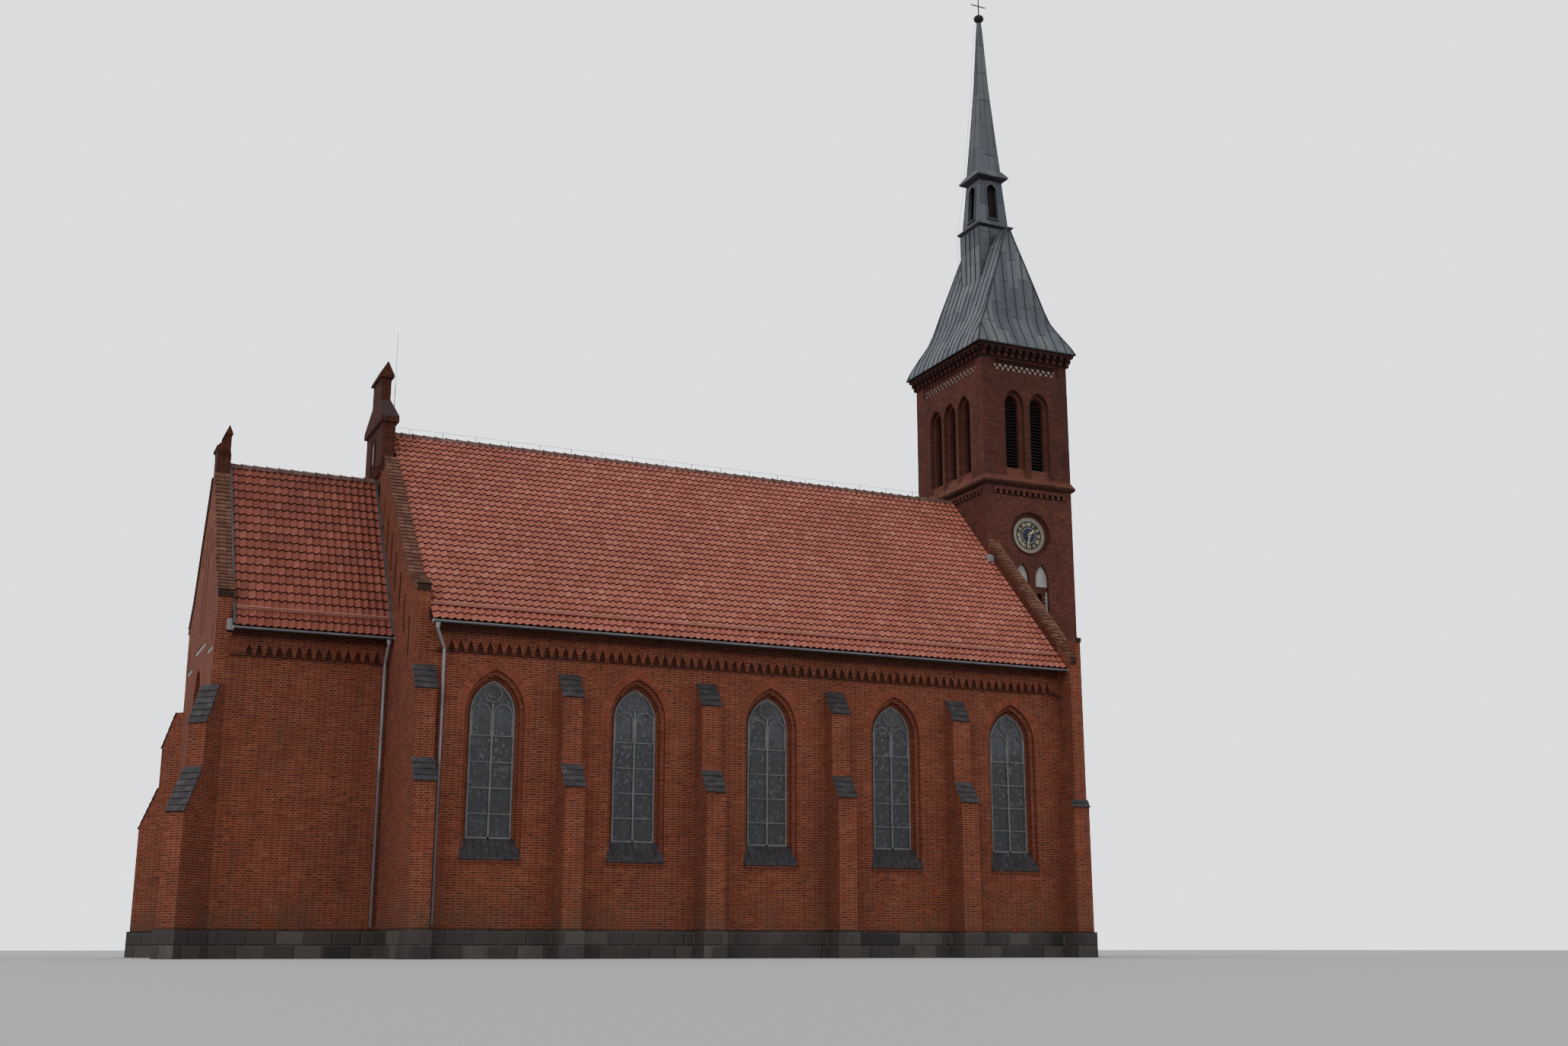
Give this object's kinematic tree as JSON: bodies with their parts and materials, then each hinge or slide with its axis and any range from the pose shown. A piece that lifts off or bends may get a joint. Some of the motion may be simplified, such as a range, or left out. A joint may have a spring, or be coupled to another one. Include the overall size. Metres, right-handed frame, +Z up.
{
  "type": "church building, 1:2 scale model",
  "caption": "Red-brick church with a tall pantile roof, buttressed nave, lower chancel and a square tower with clock, hipped metal roof, lantern and spire.",
  "frame": {"origin": "under the middle of the building, at the lowest ground that its walls stand on", "axes": "+X west along the nave towards the tower, +Y north, +Z up; the south side faces -Y"},
  "size_m": [17.4434, 8.16, 20.75],
  "materials": {
    "brick": "red facing brick, coursed, light mortar",
    "tower_brick": "darker weathered red brick",
    "fieldstone": "split grey fieldstone in mortar",
    "coping_brick": "brown bricks laid on edge",
    "pantile": "salmon-red clay pantiles",
    "ridge_tile": "clay ridge tiles",
    "leaded_glass": "dark leaded panes in grey frames",
    "zinc": "weathered zinc sheet",
    "roof_sheet": "dark grey standing-seam sheet, dull",
    "dark_iron": "dark wrought iron",
    "dark_boards": "dark weathered boards",
    "door_wood": "stained oak boards",
    "floor": "stone slabs",
    "step_stone": "worn sandstone",
    "dial": "black chapter ring, blue centre, cream rim",
    "gilt": "gilt metal"
  },
  "bodies": {
    "church": {"nave_plinth": "fieldstone", "chancel_plinth": "fieldstone", "tower_plinth": "fieldstone", "nave_floor": "floor", "chancel_floor": "floor", "tower_floor": "floor", "nave_wall_south": "brick", "nave_wall_north": "brick", "nave_east_gable": "brick", "nave_west_gable_south": "brick", "nave_west_gable_north": "brick", "chancel_wall_south": "brick", "chancel_wall_north": "brick", "chancel_east_gable": "brick", "nave_window_1_south": "leaded_glass", "nave_window_1_north": "leaded_glass", "nave_window_2_south": "leaded_glass", "nave_window_2_north": "leaded_glass", "nave_window_3_south": "leaded_glass", "nave_window_3_north": "leaded_glass", "nave_window_4_south": "leaded_glass", "nave_window_4_north": "leaded_glass", "nave_window_5_south": "leaded_glass", "nave_window_5_north": "leaded_glass", "chancel_window": "leaded_glass", "nave_roof_south": "pantile", "nave_roof_north": "pantile", "chancel_roof_south": "pantile", "chancel_roof_north": "pantile", "nave_ridge": "ridge_tile", "chancel_ridge": "ridge_tile", "nave_east_coping_south": "coping_brick", "nave_east_coping_north": "coping_brick", "nave_west_coping_south": "coping_brick", "nave_west_coping_north": "coping_brick", "chancel_coping_south": "coping_brick", "chancel_coping_north": "coping_brick", "nave_gutter_south": "zinc", "nave_gutter_north": "zinc", "chancel_gutter_south": "zinc", "chancel_gutter_north": "zinc", "tower_shaft": "tower_brick", "tower_belfry": "tower_brick", "belfry_floor": "dark_boards", "belfry_louvres": "dark_boards", "west_door": "door_wood", "west_steps": "step_stone", "tower_roof": "roof_sheet", "roof_shaft": "roof_sheet", "lantern": "roof_sheet", "lantern_core": "dark_boards", "spire": "roof_sheet", "finial_cross": "dark_iron", "clock_dial": "dial"},
    "hour_hand": {"hour_hand": "gilt"},
    "minute_hand": {"minute_hand": "gilt"}
  },
  "joints": [
    {"name": "minute_hand_turn", "type": "hinge", "parent": "church", "child": "minute_hand", "pos_m": [7.205, -1.3, 8.115], "axis": [0, 1, 0], "continuous": true},
    {"name": "hour_hand_turn", "type": "hinge", "parent": "church", "child": "hour_hand", "pos_m": [7.205, -1.3, 8.115], "axis": [0, 1, 0], "continuous": true}
  ],
  "couplings": [
    {"joint": "hour_hand_turn", "follows": "minute_hand_turn", "ratio": 0.083333}
  ]
}
